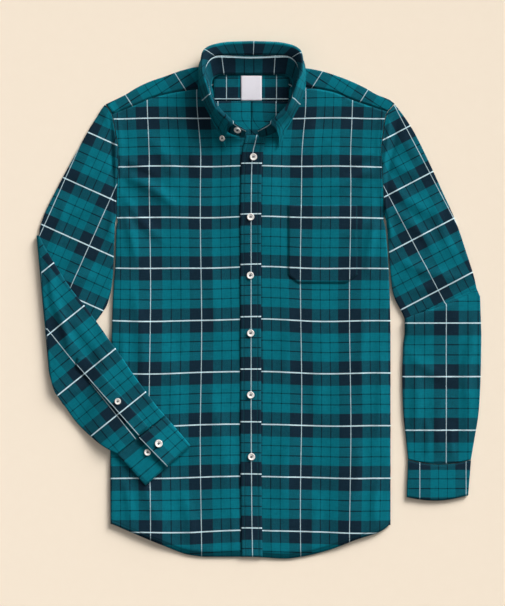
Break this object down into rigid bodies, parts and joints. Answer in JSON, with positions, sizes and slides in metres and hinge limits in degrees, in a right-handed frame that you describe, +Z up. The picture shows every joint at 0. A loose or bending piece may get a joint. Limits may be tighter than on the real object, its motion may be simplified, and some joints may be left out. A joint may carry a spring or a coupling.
{
  "type": "flannel shirt",
  "caption": "Plaid button-front flannel shirt laid flat on its back: pointed collar, chest pocket, buttoned cuffs, one sleeve folded down its side.",
  "frame": {"origin": "on the surface that the shirt lies on, under the middle of its bounding box", "axes": "+Y from hem to collar, +X to the viewer's right (the wearer's left), +Z up from the surface"},
  "size_m": [0.72, 0.8364, 0.0374],
  "materials": {
    "flannel": "brushed cotton flannel, matt",
    "label": "woven satin label, blank",
    "button": "polished resin, off-white"
  },
  "bodies": {
    "root": {"front_right": "flannel", "front_left": "flannel", "back_panel": "flannel", "yoke": "flannel", "yoke_inner": "flannel", "placket": "flannel", "pocket": "flannel", "sleeve_right": "flannel", "sleeve_left": "flannel", "cuff_right": "flannel", "cuff_left": "flannel", "sleeve_placket": "flannel", "collar_stand": "flannel", "collar_leaf": "flannel", "neck_label": "label", "button_front_1": "button", "button_front_2": "button", "button_front_3": "button", "button_front_4": "button", "button_front_5": "button", "button_front_6": "button", "button_sleeve": "button", "button_cuff_right_flap": "button", "button_cuff_right_end": "button", "button_collar": "button", "button_neck": "button"}
  },
  "joints": []
}
